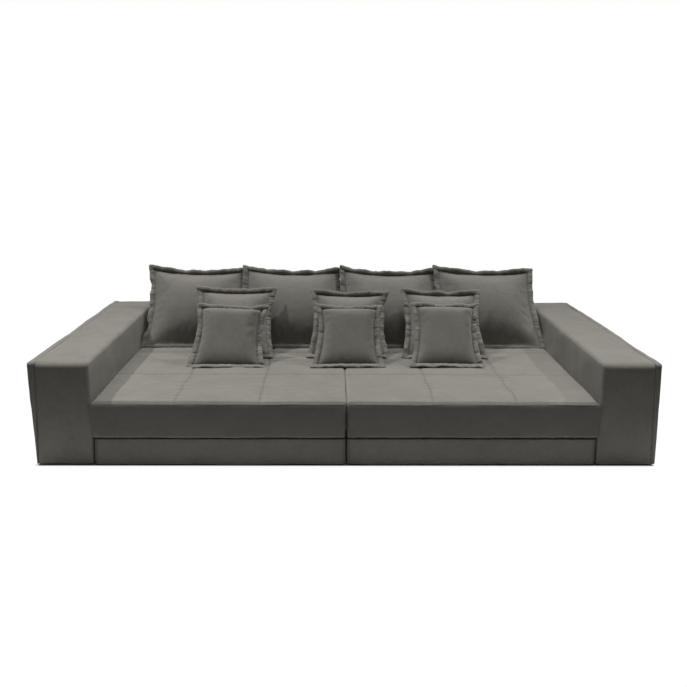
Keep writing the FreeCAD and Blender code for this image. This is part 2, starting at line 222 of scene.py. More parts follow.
def block(low, high, names, edges, cell, lines=((), (), ()), steps=EDGE_STEPS):
    """A box with a round of its own on each edge, as a grid on six faces."""
    reach = edge_table(names, edges)
    low, high = np.array(low), np.array(high)
    axes = []
    for a in range(3):
        near, far = reach[a, :, 0].max(), reach[a, :, 1].max()
        axes.append(axis_lines(low[a], high[a], near, far, cell, lines[a], steps))
    keys, quads, faces = box_grid([len(axis[0]) for axis in axes])
    share, side, place = (np.stack([axes[a][n][keys[:, a]] for a in range(3)], 1) for n in range(3))
    lean = np.tan(share * np.pi / 4)
    lean /= np.linalg.norm(lean, axis=1)[:, None]
    points = np.zeros((len(keys), 3))
    for a, b, c in TURNS:
        weight_b, weight_c = share[:, b] ** 2, share[:, c] ** 2
        reach_b = reach[a, b, side[:, a], side[:, b]]
        reach_c = reach[a, c, side[:, a], side[:, c]]
        size = (reach_b * weight_b + reach_c * weight_c) / (weight_b + weight_c + TINY)
        inset = size * (1 - lean[:, a])
        ends = np.where(side[:, a] == 0, low[a] + inset, high[a] - inset)
        points[:, a] = np.where(np.isnan(place[:, a]), ends, place[:, a])
    cloth = np.zeros((len(quads), 4, 2))
    for a, b, c in TURNS:
        cloth[faces == a] = points[quads[faces == a]][..., [b, c]] + CLOTH_SHIFT * a
    return {"points": points, "quads": quads, "cloth": cloth.reshape(-1, 2),
            "wear": np.sort(share, axis=1)[:, 1], "lean": lean, "low": low, "high": high}


def puff(shape, swell, waves, rng):
    """Fills a block's faces out by swell and lays soft waves over it."""
    points = shape["points"]
    half = (shape["high"] - shape["low"]) / 2
    place = np.abs((points - shape["low"] - half) / half)
    room = np.sort(1 - place ** FLATNESS, axis=1)
    height = swell * (room[:, 1] * room[:, 2])
    for size, amount in waves:
        height = height + amount * ripple(points, size, rng)
    shape["points"] = points + normals_of(points, shape["quads"]) * height[:, None]


def dress(piece, body, material, nodes):
    """Puts the piece on its body in place of the nodes, with its finish."""
    piece.data.materials.append(material)
    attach(piece, body)
    if nodes:
        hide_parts(*nodes)
    return piece


def tube(name, path, radius, sides=8, end_girth=0.35):
    """A closed round cord along a path, thinner at its ends."""
    ahead = np.gradient(path, axis=0)
    ahead /= np.linalg.norm(ahead, axis=1)[:, None]
    across = np.cross(ahead, (0.0, 0.0, 1.0))
    across /= np.linalg.norm(across, axis=1)[:, None]
    rise = np.cross(across, ahead)
    turn = np.linspace(0, 2 * np.pi, sides, endpoint=False)
    ring = (np.cos(turn)[None, :, None] * across[:, None]
            + np.sin(turn)[None, :, None] * rise[:, None])
    girth = np.full(len(path), radius)
    girth[[0, -1]] *= end_girth
    points = (path[:, None] + ring * girth[:, None, None]).reshape(-1, 3)
    index = np.arange(len(points)).reshape(len(path), sides)
    after = np.roll(index, -1, axis=1)
    quads = np.stack([index[:-1], after[:-1], after[1:], index[1:]], -1).reshape(-1, 4)
    caps = []
    for row, flip in ((index[0], True), (index[-1], False)):
        for n in range(1, sides // 2):
            cap = [row[n - 1], row[n], row[sides - 1 - n], row[(sides - n) % sides]]
            caps.append(cap[::-1] if flip else cap)
    quads = np.concatenate([quads, np.array(caps)])
    length = np.concatenate([[0], np.cumsum(np.linalg.norm(np.diff(path, axis=0), axis=1))])
    cloth = np.stack([np.repeat(length, sides), np.tile(turn * radius, len(path))], 1)
    return mesh_piece(name, points, quads, cloth)


class Nodes:
    """A node tree under construction."""

    def __init__(self, tree):
        self.tree = tree

    def put(self, socket, value):
        """Links an output to the socket, or sets the socket to a constant."""
        if isinstance(value, bpy.types.NodeSocket):
            self.tree.links.new(value, socket)
        else:
            socket.default_value = value

    def node(self, kind, inputs=(), **settings):
        """Adds a node with its settings and inputs."""
        node = self.tree.nodes.new("ShaderNode" + kind)
        for key, value in settings.items():
            setattr(node, key, value)
        for key, value in dict(inputs).items():
            self.put(node.inputs[key], value)
        return node

    def add(self, kind, inputs=(), out=0, **settings):
        """Adds a node and gives one of its outputs."""
        return self.node(kind, inputs, **settings).outputs[out]

    def math(self, operation, *values, **settings):
        """The result of a Math node."""
        return self.add("Math", enumerate(values), operation=operation, **settings)

    def mix(self, share, first, second):
        """A colour between two colours."""
        return self.add("Mix", {0: share, 6: first, 7: second}, out=2, data_type="RGBA")

    def noise(self, place, scale, detail=2.0, roughness=0.5):
        """A noise field at a scale."""
        inputs = {"Vector": place, "Scale": scale, "Detail": detail, "Roughness": roughness}
        return self.add("TexNoise", inputs)

    def weave(self, **thread):
        """Crossed threads."""
        warp, weft = (self.add("TexWave", thread, out=1, bands_direction=way)
                      for way in "XY")
        return self.math("MULTIPLY", warp, weft)


class Finish(Nodes):
    """A procedural material under construction."""

    def __init__(self, name):
        self.material = bpy.data.materials.new(name)
        self.material.use_nodes = True
        super().__init__(self.material.node_tree)
        self.shader = self.tree.nodes["Principled BSDF"]
        self.place = self.add("TexCoord", out="Object")

    def finish(self, colour, height, bump, depth, **constants):
        """Sets the shader's colour, bump and constants."""
        self.put(self.shader.inputs["Base Color"], colour)
        normal = self.add("Bump", {"Strength": bump, "Distance": depth, "Height": height})
        self.put(self.shader.inputs["Normal"], normal)
        for key, value in constants.items():
            self.shader.inputs[key.replace("_", " ")].default_value = value
        return self.material


# The cloth: shades and contrast of its pile, and what each layer's tint and shade are; one layer is
# painted shade that darkens seams, gaps, creases and sheltered flanges
PILE_SHADES = (0.90, 1.10)
PILE_CONTRAST = 3.4
GRAIN_CONTRAST = 0.5
TINTS = {"weave": (0.25, 0.78), "wear": (0.40, 1.45), "painted_shade": (0.55, 0.35), "stitch": (0.6, 1.25)}
WEAVE_RELIEF, GRAIN_RELIEF, STITCH_RELIEF = 0.5, 0.6, 1.5
STITCH_PITCH = 0.0065
STITCH_SHARE = 0.7
STITCH_WIDTH = 0.0009
THREAD = {"Scale": 160.0, "Distortion": 1.2, "Detail": 1.0, "Detail Scale": 2.0}
SHEEN_TINT = (0.95, 0.93, 0.88, 1.0)
# Timber: its two grain colours, its fibres and its grain's stretch
TIMBER_GRAIN = ((0.60, 0.43, 0.25, 1), (0.74, 0.58, 0.38, 1))
TIMBER_FIBRE = (0.48, 0.33, 0.18, 1)
TIMBER_STRETCH = (3.0, 22.0, 22.0)


def shade(colour, factor):
    """The colour, lighter or darker, with its alpha."""
    return (*(c * factor for c in colour), 1.0)


def fabric(name, colour):
    """A suede-like woven cloth: cloudy pile, fine weave, worn edges, painted shade in seams, gaps
    and creases, and stitches.
    """
    f = Finish(name)
    cloud = f.noise(f.place, scale=6.0, detail=3.0)
    mottle = f.noise(f.place, scale=34.0, detail=4.0, roughness=0.6)
    grain = f.noise(f.place, scale=700.0, detail=1.0)
    weave = f.weave(Vector=f.add("UVMap", uv_map="cloth"), **THREAD)
    pile = f.math("MULTIPLY_ADD", cloud, 0.5, f.math("MULTIPLY", mottle, 0.5))
    pile = f.math("MULTIPLY_ADD", f.math("SUBTRACT", pile, 0.5), PILE_CONTRAST, 0.5)
    pile = f.math("MULTIPLY_ADD", f.math("SUBTRACT", grain, 0.5), GRAIN_CONTRAST, pile)
    # The painted_shade attribute darkens the colour where shade falls in seams, gaps and creases
    wear, painted_shade = (f.add("Attribute", out=2, attribute_name=label)
                    for label in ("wear", "painted_shade"))
    run, away, _ = f.node("SeparateXYZ", {0: f.add("UVMap", uv_map="stitch")}).outputs
    dash = f.math("LESS_THAN", f.math("FRACT", f.math("DIVIDE", run, STITCH_PITCH)), STITCH_SHARE)
    near = f.math("LESS_THAN", f.math("ABSOLUTE", away), STITCH_WIDTH)
    stitch = f.math("MULTIPLY", dash, near)
    layers = {"weave": weave, "wear": f.math("MULTIPLY", wear, mottle),
              "painted_shade": painted_shade, "stitch": stitch}
    base = f.mix(pile, *(shade(colour, factor) for factor in PILE_SHADES))
    for label, (amount, factor) in TINTS.items():
        base = f.mix(f.math("MULTIPLY", layers[label], amount), base, shade(colour, factor))
    height = f.math("MULTIPLY_ADD", weave, WEAVE_RELIEF, f.math("MULTIPLY", grain, GRAIN_RELIEF))
    height = f.math("MULTIPLY_ADD", stitch, STITCH_RELIEF, height)
    return f.finish(base, height, 0.35, 0.0008, Roughness=0.92, Specular_IOR_Level=0.22,
                    Sheen_Weight=0.35, Sheen_Roughness=0.40, Sheen_Tint=SHEEN_TINT)


def timber():
    """Planed softwood with long grain."""
    f = Finish("timber")
    place = f.add("Mapping", {0: f.place, "Scale": TIMBER_STRETCH})
    ring = {"Vector": place, "Scale": 1.4, "Distortion": 6.0, "Detail": 3.0}
    fibre = f.noise(place, scale=30.0, detail=4.0)
    colour = f.mix(f.add("TexWave", ring, out=1), *TIMBER_GRAIN)
    colour = f.mix(f.math("MULTIPLY", fibre, 0.4), colour, TIMBER_FIBRE)
    return f.finish(colour, fibre, 0.2, 0.001, Roughness=0.7)


def plain(name, dark, light, scale, rough, metal=0.0, bump=0.2):
    """A finish between two near colours, with a fine grain."""
    f = Finish(name)
    grain = f.noise(f.place, scale, detail=3.0)
    colour = f.mix(grain, (*dark, 1.0), (*light, 1.0))
    return f.finish(colour, grain, bump, 0.0006, Roughness=rough, Metallic=metal)


def woven(name, dark, light, scale):
    """A coarse woven strap or cloth."""
    f = Finish(name)
    weave = f.weave(Vector=f.place, Scale=scale)
    colour = f.mix(weave, (*dark, 1.0), (*light, 1.0))
    return f.finish(colour, weave, 0.4, 0.001, Roughness=0.9)


UPHOLSTERY = fabric("upholstery_fabric", GREY)
CUSHION_FABRIC = fabric("cushion_fabric", GREY)

# Finishes of the CAD nodes
CAD_FINISH = {
    "timber": timber(),
    "webbing": woven("webbing", (0.03, 0.03, 0.03), (0.16, 0.16, 0.15), 60.0),
    "dust_cloth": plain("dust_cloth", (0.03, 0.03, 0.03), (0.07, 0.07, 0.07), 400.0, 0.95),
    "steel": plain("zinc_steel", (0.50, 0.50, 0.50), (0.66, 0.66, 0.64), 60.0, 0.38, 1.0),
    "spacer_rubber": plain("spacer_rubber", (0.03, 0.03, 0.03), (0.06, 0.06, 0.06), 250.0, 0.8),
    "glide_plastic": plain("glide_plastic", (0.02, 0.02, 0.02), (0.045, 0.045, 0.045), 300.0, 0.5),
    "foam": plain("foam", (0.80, 0.75, 0.56), (0.92, 0.88, 0.72), 500.0, 0.95, bump=0.5),
    "fibre": plain("fibre", (0.84, 0.84, 0.82), (0.95, 0.95, 0.93), 300.0, 0.95, bump=0.5),
    "upholstery": UPHOLSTERY,
    "cushion_fabric": CUSHION_FABRIC,
}
for part in frame["record"]["subparts"]:
    mesh = frame["nodes"][part["node"]].data
    mesh.materials.clear()
    mesh.materials.append(CAD_FINISH[part["material_slot"]])

# Upholstered blocks
SIDES = {"left": -1, "right": 1}
CELL = 0.014
ARM_HEIGHT = 0.6
ARM_HOLLOW = 0.005
ARM_SEAM = 0.006
# Reach of the painted shade at a plinth's outer ends, where it meets the arm
PLINTH_END_SHADE = 0.010
PLINTH_TILT = 0.009
# Blocks that start between these heights reach down a little more
FLOOR_ROOM = (0.01, 0.05)
BOTTOM_DROP = 0.003
# The joint of seat and arm: its shift in front and behind, where that starts, and its reach
JOINT_FRONT, JOINT_REAR = 0.008, 0.022
JOINT_START, JOINT_RUN = -0.93, 1.4
JOINT_REACH = 0.12
# Shift of the arm's outer seam and of the side panel's outer face, at the floor and at the top
SEAM_SLANT = {"left": (-0.012, 0.007), "right": (0.017, -0.008)}
PANEL_SLANT = {"left": (0.008, -0.005), "right": (0.012, -0.002)}
# How deep the painted shade is in the gap between the halves and along the arm's outer seam
GAP_SHADE = 1.7
ARM_SEAM_SHADE = 1.6
# Size and height of the soft waves
SOFT_WAVES = ((0.55, 0.0014), (0.16, 0.0005))
PANEL_WAVES = ((0.50, 0.0012), (0.12, 0.0005))
PLINTH_WAVES = ((0.40, 0.0008),)

ARM_EDGES = {
    "rest": 0.012, "front_top": 0.040, "rear_top": 0.034, "inner_top": 0.020,
    "inner_front": 0.018, "inner_rear": 0.020, "outer_top": 0.009, "outer_front": 0.007,
    "outer_rear": 0.007, "outer_bottom": 0.004, "front_bottom": 0.004,
}
PANEL_EDGES = {
    "rest": 0.009, "front_top": 0.022, "rear_top": 0.020, "outer_top": 0.013,
    "outer_front": 0.011, "outer_rear": 0.011, "inner_bottom": 0.004, "outer_bottom": 0.005,
    "front_bottom": 0.005,
}
BACK_EDGES = {
    "rest": 0.014, "front_top": 0.034, "rear_top": 0.034, "inner_top": 0.024,
}
PLINTH_EDGES = {"rest": 0.006, "inner_bottom": 0.009, "front_top": 0.005, "front_bottom": 0.004}
SEAT_EDGES = {
    "rest": 0.014, "inner_top": 0.018, "outer_top": 0.030, "front_top": (0.052, 0.040),
    "rear_top": 0.030, "outer_front": 0.010, "front_bottom": 0.022,
}


def faces_of(side):
    """The names of a block's faces on that side of the sofa, lowest first."""
    across = ("outer", "inner") if side == "left" else ("inner", "outer")
    return across, ("front", "rear"), ("bottom", "top")


def joint_shift(y):
    """How far outward the joint of seat and arm lies at each point."""
    share = np.clip((y - JOINT_START) / JOINT_RUN, 0, 1)
    return JOINT_FRONT + (JOINT_REAR - JOINT_FRONT) * share


def middle_gap_shade(x):
    """How deep the painted shade is at a point in the gap between the halves."""
    away = np.abs(x)
    return np.maximum(fall(0.014, 0.022, away), GAP_SHADE * fall(0.006, 0.012, away))


def slant(z, ends):
    """A shift along X from one end at the floor to the other at the top."""
    return ends[0] + (ends[1] - ends[0]) * np.clip(z / ARM_HEIGHT, 0, 1)


def ends_across(low, high, side):
    """Where a block's inner and outer faces are along X."""
    return (high[0], low[0]) if side == "left" else (low[0], high[0])


def set_arm(points, low, high, side):
    """Sets an arm's faces to its joint with the seat and to its outer seam."""
    x, y, z = points.T
    inner, outer = ends_across(low, high, side)
    near = fall(0, JOINT_REACH, np.abs(x - inner))
    far = fall(0, JOINT_REACH, np.abs(x - outer))
    x += SIDES[side] * near * joint_shift(y) + far * slant(z, SEAM_SLANT[side])
    half = ARM_HEIGHT / 2
    y += ARM_HOLLOW * fall(0, 0.10, y - low[1]) * (1 - ((z - half) / half) ** 2)


def set_plinth(points, low, high, side):
    """Lets a plinth come forward towards the floor, alike on both sides."""
    points[:, 1] -= PLINTH_TILT * (high[2] - points[:, 2]) / (high[2] - low[2])


def set_panel(points, low, high, side):
    """Sets a side panel's faces, a little out of true."""
    x, _, z = points.T
    inner, outer = ends_across(low, high, side)
    share = np.clip((x - inner) / (outer - inner), 0, 1)
    x += (1 - share) * slant(z, SEAM_SLANT[side]) + share * slant(z, PANEL_SLANT[side])


def make_block(name, side, node, also, edges, swell, waves, seed, fill,
               settle=None, seam=0.0, end=0.0):
    """One upholstered block in the space of its CAD cover, with painted shade in its joints and
    gaps.
    """
    low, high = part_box(node)
    shape = block(low, high, faces_of(side), edges, CELL)
    puff(shape, swell, waves, np.random.default_rng(seed))
    points = shape["points"]
    x, _, z = points.T
    outside = np.abs(x - ends_across(low, high, side)[1])
    if settle:
        settle(points, low, high, side)
    if FLOOR_ROOM[0] < low[2] < FLOOR_ROOM[1]:
        z -= BOTTOM_DROP * fall(0, 0.05, z - low[2])
    # Painted shade: in the middle gap, along the arm's outer seam, at the plinth's ends and under
    # the seat's overhang
    dark = middle_gap_shade(x)
    if seam:
        dark = np.maximum(dark, ARM_SEAM_SHADE * fall(0.5 * seam, seam, outside))
    if end:
        dark = np.maximum(dark, fall(0.7 * end, end, outside))
        dark = np.maximum(dark, fall(0.0015, 0.005, high[2] - z))
    piece = mesh_piece(name, points, shape["quads"], shape["cloth"],
                       wear=shape["wear"], painted_shade=dark)
    return dress(piece, "sofa", UPHOLSTERY, [node, *also])


# Each block: piece, cover, what else it stands for, edges, swell, waves, seed, fill and joints
BLOCKS = (
    ("arm", "arm_cover", ["arm_foam"], ARM_EDGES, 0.004, SOFT_WAVES, 11, 0.95,
     {"settle": set_arm, "seam": ARM_SEAM}),
    ("side_panel", "arm_side_panel", [], PANEL_EDGES, 0.0015, PANEL_WAVES, 21, 0.9,
     {"settle": set_panel}),
    ("backrest", "back_cover", ["back_foam"], BACK_EDGES, 0.004, SOFT_WAVES, 31, 0.95, {}),
    ("plinth", "plinth_cover", [], PLINTH_EDGES, 0.0015, PLINTH_WAVES, 41, 0.9,
     {"settle": set_plinth, "end": PLINTH_END_SHADE}),
)
for number, side in enumerate(SIDES):
    for name, cover, foam, edges, swell, waves, seed, fill, joints in BLOCKS:
        make_block(f"{name}_{side}", side, f"{cover}_{side}", [f"{part}_{side}" for part in foam],
                   edges, swell, waves, seed + number, fill, **joints)

# The quilted seats
SEAT_SEED = 51
SEAT_CELL = 0.010
SEAT_STEPS = 12
SEAT_SWELL = 0.0015
SEAT_WAVES = ((0.45, 0.0012), (0.09, 0.0004))
SEAT_DROOP = 0.006
SEAT_TILT = 0.006
# How deep the painted shade is on the seat's front below its edge
SEAT_SHADE = 0.6
COLUMN_SHIFT = 0.016
SEAT_ROWS = (-0.373, 0.192)
# Depth and reach of a sewn line's dip, of its crease and of the dip where lines cross
DIP, DIP_REACH = 0.0022, 0.05
CREASE, CREASE_REACH = 0.0036, 0.008
CROSSING, CROSSING_REACH = 0.005, 0.05
# Height, size and reach of the puckers beside a line and of the bends along it
PUCKER, PUCKER_SIZE, PUCKER_REACH = 0.0016, 0.055, 0.030
BEND, BEND_SIZE, BEND_REACH = 0.004, 0.35, 0.06
# Width of the painted shade along each sewn line
LINE_SHADE_WIDTH = 0.004
# The welt: its place behind and below the front edge, its ends, radius, points and sway
WELT_PLACE = (0.0062, 0.0158)
WELT_END = 0.004
WELT_RADIUS = 0.0022
WELT_POINTS = 120
WELT_SWAY = 0.0006
# The seat's front edge from the top to the front: share of the turn, set-back and drop
FRONT_PROFILE = (
    (0.00, 0.0520, 0.0000),
    (0.08, 0.0380, 0.0000),
    (0.17, 0.0290, 0.0001),
    (0.25, 0.0225, 0.0008),
    (0.33, 0.0190, 0.0028),
    (0.42, 0.0130, 0.0085),
    (0.50, 0.0078, 0.0138),
    (0.58, 0.0064, 0.0162),
    (0.67, 0.0050, 0.0190),
    (0.75, 0.0030, 0.0235),
    (0.83, 0.0016, 0.0290),
    (0.92, 0.0006, 0.0350),
    (1.00, 0.0000, 0.0400),
)
# How far the outer front corner reaches over the arm and forward
CORNER_REACH = 0.026
CORNER_AHEAD = 0.004
# Where and how far the halves come together below the top
TOUCH_HEIGHT = 0.026
TOUCH = 0.0042


def quilt(shape, columns, rng):
    """Draws a seat's top down along its sewn lines, paints shade along them and stitches them."""
    points = shape["points"]
    top = shape["lean"][:, 2] ** 2 * (points[:, 2] > shape["low"][2] + 0.1)
    drop, along, painted_shade, crossing = np.zeros((4, len(points)))
    gap = np.full(len(points), FAR)
    for c in columns:
        for r in SEAT_ROWS:
            away = np.hypot(points[:, 0] - c, points[:, 1] - r)
            crossing = np.maximum(crossing, np.exp(-away / CROSSING_REACH))
    for axis, value in [(0, c) for c in columns] + [(1, r) for r in SEAT_ROWS]:
        run = points[:, 1 - axis]
        away = points[:, axis] - value
        size = np.abs(away)
        broad = DIP * np.exp(-(size / DIP_REACH) ** 1.2)
        sharp = (CREASE + CROSSING * crossing) * np.exp(-size / CREASE_REACH)
        pucker = PUCKER * ripple(run[:, None], PUCKER_SIZE, rng) * np.exp(-size / PUCKER_REACH)
        drop = np.maximum(drop, broad + sharp) + pucker * smooth(0, 0.012, size)
        nearer = size < np.abs(gap)
        along = np.where(nearer, run, along)
        gap = np.where(nearer, away, gap)
        painted_shade = np.maximum(painted_shade, np.exp(-(size / LINE_SHADE_WIDTH) ** 2))
        bend = BEND * ripple(run[:, None], BEND_SIZE, rng) * np.exp(-(size / BEND_REACH) ** 2)
        points[:, axis] += bend * top
    points[:, 2] -= drop * top
    shape["painted_shade"] = painted_shade * top
    shape["stitch"] = np.stack([along, np.where(top > 0.5, gap, FAR)], 1)


def round_front(shape):
    """Gives a seat's front edge its profile."""
    _, y, z = shape["points"].T
    _, lean_y, lean_z = shape["lean"].T
    middle = (shape["low"] + shape["high"]) / 2
    edge = (y < middle[1]) & (z > middle[2]) & (lean_y > NEAR_ZERO) & (lean_z > NEAR_ZERO)
    turn = np.arctan2(lean_z, lean_y) / (np.pi / 2)
    across = np.hypot(lean_y, lean_z) + TINY
    share, back, drop = np.array(FRONT_PROFILE).T
    reach_y, reach_z = SEAT_EDGES["front_top"]
    room = np.where(edge, across, 0)
    y += room * (np.interp(1 - turn, share, back) - reach_y * (1 - lean_y / across))
    z -= room * (np.interp(1 - turn, share, drop) - reach_z * (1 - lean_z / across))


def front_shade(shape, outer):
    """The painted shade on a seat's front below its edge and at its outer end, by the arm."""
    x, y, z = shape["points"].T
    ahead = fall(0.010, 0.030, y - shape["low"][1])
    end = fall(0.003, 0.008, np.abs(x - outer))
    below = SEAT_SHADE * ahead * smooth(0.020, 0.045, shape["high"][2] - z)
    return np.maximum(ahead * end, below)


def settle_seat(shape, side, outer):
    """Sets a seat's outer corner, its slopes and its joints."""
    x, y, z = shape["points"].T
    low, high, way = shape["low"], shape["high"], SIDES[side]
    ahead = np.clip(1 - (y - low[1]) / 0.030, 0, 1) ** 2
    near = np.clip(1 - np.abs(x - outer) / JOINT_REACH, 0, 1) ** 2
    level = 0.3 + 0.7 * smooth(low[2], high[2] - 0.02, z)
    x += way * CORNER_REACH * ahead * near * level
    y -= CORNER_AHEAD * ahead * near * level
    upper = smooth(high[2] - 0.10, high[2] - 0.03, z)
    z -= SEAT_DROOP * upper * np.clip(1 - (y - low[1]) / 0.18, 0, 1) ** 1.5
    inner = np.exp(-np.abs(x) / 0.020)
    high_up = np.exp(-((z - high[2] + TOUCH_HEIGHT) / 0.016) ** 2)
    behind = smooth(low[1] + 0.02, low[1] + 0.05, y)
    x -= way * TOUCH * inner * high_up * behind
    lower = np.clip((high[2] - z) / (high[2] - low[2]), 0, 1)
    y += SEAT_TILT * lower * fall(0, 0.10, y - low[1])
    x += way * joint_shift(y) * fall(0, JOINT_REACH, np.abs(x - outer))


def joint_shade(shape):
    """The painted shade on a seat in the middle gap and above the plinth."""
    x, _, z = shape["points"].T
    middle = middle_gap_shade(x) * smooth(0.05, 0.07, shape["high"][2] - z)
    return np.maximum(middle, fall(0.004, 0.012, z - shape["low"][2]))


def make_seat(side, seed):
    """One half's seat, with its sewn lines and the welt along its front."""
    rng = np.random.default_rng(seed)
    node = f"seat_cover_{side}"
    low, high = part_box(node)
    outer = ends_across(low, high, side)[1]
    shift = SIDES[side] * COLUMN_SHIFT
    columns = [low[0] + (high[0] - low[0]) * n / 3 + shift for n in (1, 2)]
    lines = (columns, SEAT_ROWS, ())
    shape = block(low, high, faces_of(side), SEAT_EDGES, SEAT_CELL, lines, SEAT_STEPS)
    round_front(shape)
    front = front_shade(shape, outer)
    settle_seat(shape, side, outer)
    joints = joint_shade(shape)
    puff(shape, SEAT_SWELL, SEAT_WAVES, rng)
    quilt(shape, columns, rng)
    # The seat's painted shade: along its sewn lines, on its front and in its joints
    painted_shade = np.maximum.reduce([shape["painted_shade"], front, joints])
    piece = mesh_piece(f"seat_{side}", shape["points"], shape["quads"], shape["cloth"],
                       shape["stitch"], shape["wear"], painted_shade)
    dress(piece, "sofa", UPHOLSTERY, [node, f"seat_foam_{side}"])
    run = np.linspace(low[0] + WELT_END, high[0] - WELT_END, WELT_POINTS)
    sway = ripple(run[:, None], 0.4, rng) * WELT_SWAY
    behind, below = low[1] + WELT_PLACE[0], high[2] - WELT_PLACE[1] - SEAT_DROOP
    welt = tube(f"seat_welt_{side}", np.stack([run, behind + sway, below + sway], 1), WELT_RADIUS)
    dress(welt, "sofa", UPHOLSTERY, [])


for number, side in enumerate(SIDES):
    make_seat(side, SEAT_SEED + number)

# Loose cushions
FLANGE_CELLS = 4
SIM_FRAMES = 25
CUSHION_SEED = 100
LEAN = math.radians(45)
FOOT_DRAW = 0.005
START_NOISE = 0.0006
CALM_TIMES = 3
# Each kind: its crown in front and behind, how far sides and top are drawn in, its height before
# it is filled, the sag of its foot, and how full and round its front is, more at the top by tilt
KINDS = {
    "large": {"size": 0.700, "flange": 0.040, "crown": (0.122, 0.112), "draw": (0.037, 0.045),
              "cell": 0.0115, "dome": 0.090, "sag": 0.020, "back": 0.0,
              "full": 1.0, "round": 1.6, "tilt": 0.0},
    "medium": {"size": 0.580, "flange": 0.040, "crown": (0.096, 0.066), "draw": (0.040, 0.026),
               "cell": 0.0105, "dome": 0.066, "sag": 0.014, "back": 0.012,
               "full": 1.0, "round": 1.5, "tilt": 0.10},
    "small": {"size": 0.490, "flange": 0.038, "crown": (0.068, 0.055), "draw": (0.040, 0.018),
              "cell": 0.0095, "dome": 0.056, "sag": 0.014, "back": 0.010,
              "full": 2.0, "round": 1.0, "tilt": 0.60},
}
# Each cushion: kind, seed, the places of its corners in its own plane, the turn of its top, left,
# right and bottom flange at the seam and at the hem, and how far its left and right sides stand out
CUSHIONS = {
    "back_cushion_1": (
        "large", 1, ((-0.397, 0.374), (0.335, 0.352), (-0.372, -0.352), (0.352, -0.350)),
        ((34, -12), (-20, -26), (-26, -40), (2, 6)), (0.000, 0.042)),
    "back_cushion_2": (
        "large", 2, ((-0.396, 0.372), (0.335, 0.354), (-0.352, -0.350), (0.352, -0.350)),
        ((34, -12), (26, 18), (-26, -40), (2, 6)), (0.042, 0.042)),
    "back_cushion_3": (
        "large", 3, ((-0.378, 0.368), (0.335, 0.350), (-0.352, -0.350), (0.352, -0.350)),
        ((34, -12), (26, 18), (-26, -40), (2, 6)), (0.042, 0.042)),
    "back_cushion_4": (
        "large", 4, ((-0.387, 0.376), (0.371, 0.362), (-0.352, -0.350), (0.392, -0.354)),
        ((34, -12), (26, 18), (-12, -16), (2, 6)), (0.042, 0.000)),
    "medium_cushion_left": (
        "medium", 5, ((-0.292, 0.306), (0.287, 0.302), (-0.290, -0.290), (0.294, -0.284)),
        ((36, -14), (10, -6), (-34, -46), (32, 26)), (0.0, 0.0)),
    "medium_cushion_middle": (
        "medium", 6, ((-0.263, 0.286), (0.298, 0.276), (-0.283, -0.284), (0.290, -0.285)),
        ((36, -14), (12, -4), (-28, -40), (32, 26)), (0.0, 0.0)),
    "medium_cushion_right": (
        "medium", 7, ((-0.279, 0.295), (0.302, 0.283), (-0.289, -0.285), (0.304, -0.285)),
        ((36, -14), (10, -6), (12, -4), (32, 26)), (0.0, 0.0)),
    "small_cushion_left": (
        "small", 8, ((-0.246, 0.258), (0.249, 0.239), (-0.275, -0.250), (0.247, -0.250)),
        ((36, -14), (4, -4), (12, -6), (32, 26)), (0.0, 0.0)),
    "small_cushion_middle": (
        "small", 9, ((-0.218, 0.249), (0.236, 0.248), (-0.248, -0.246), (0.241, -0.240)),
        ((36, -14), (12, -4), (10, -6), (32, 26)), (0.0, 0.0)),
    "small_cushion_right": (
        "small", 10, ((-0.226, 0.273), (0.247, 0.263), (-0.260, -0.238), (0.236, -0.244)),
        ((36, -14), (10, -6), (12, -4), (32, 26)), (0.0, 0.0)),
}
# The corners' signs, and the axis and end of each flange
CORNERS = ((-1, 1), (1, 1), (-1, -1), (1, -1))
FLANGES = ((1, 1), (0, 0), (0, 1), (1, 0))
# How loose each flange hangs, and the size of its sway
LOOSE = (0.7, 0.7, 0.7, 0.30)
LOOSE_TURN, LOOSE_SIZE = 0.22, 0.24
# Gathers: pitch, share at the sides and at top and bottom, stray and depths
GATHER = 0.020
GATHER_SIDES, GATHER_ENDS = 1.0, 0.6
GATHER_STRAY = 0.42
GATHER_DEPTH = (0.08, 0.66, 1.35)
TUCK_FRONT, TUCK_BACK = 0.0065, 0.0040
RUFFLE = 0.0042
HEM_THICK, FLANGE_THICK = 0.0006, 0.0070
EAR_PULL = (0.002, 0.005)
EAR_TURN = 0.006
# Painted shade and width of the seam, at the bottom last, and painted shades of creases and side
# flanges
SEAM_SHADES, SEAM_WIDTHS = (1.25, 1.7), (0.0045, 0.006)
CREASE_SHADE = 0.75
SIDE_SHADES = (0.5, 1.5)
STITCH_INSET = 0.0015
CLOTH_RULES = {
    "quality": 6, "mass": 0.15, "air_damping": 2, "tension_stiffness": 20,
    "compression_stiffness": 20, "shear_stiffness": 8, "bending_stiffness": 0.8,
    "use_pressure": True, "uniform_pressure_force": 3, "vertex_group_pressure": "air",
    "vertex_group_mass": "seam", "shrink_min": -0.015,
}


def cushion_axis(size, flange, cell):
    """Grid lines across a cushion's flange, body and flange."""
    inner = size / 2 - flange
    hem = np.linspace(inner, size / 2, FLANGE_CELLS + 1)[1:]
    body = np.linspace(-inner, inner, round(2 * inner / cell) + 1)
    return np.concatenate([-hem[::-1], body, hem])


def sewn_places(spec, line):
    """The front of an unfilled cover, drawn in at its sides and top."""
    size, (draw_side, draw_top) = spec["size"], spec["draw"]
    x, z = np.meshgrid(line, line, indexing="ij")
    inner = size / 2 - spec["flange"]
    u, v = np.clip(x / inner, -1, 1), np.clip(z / inner, -1, 1)
    dome = spec["dome"] * ((1 - u ** 2) * (1 - v ** 2)) ** 0.5
    wide = x * (1 - draw_side / (size / 2) * (1 - (2 * z / size) ** 2))
    draw = np.where(z < 0, FOOT_DRAW, draw_top)
    tall = z * (1 - draw / (size / 2) * (1 - (2 * x / size) ** 2))
    return np.stack([wide, -dome, tall], -1)


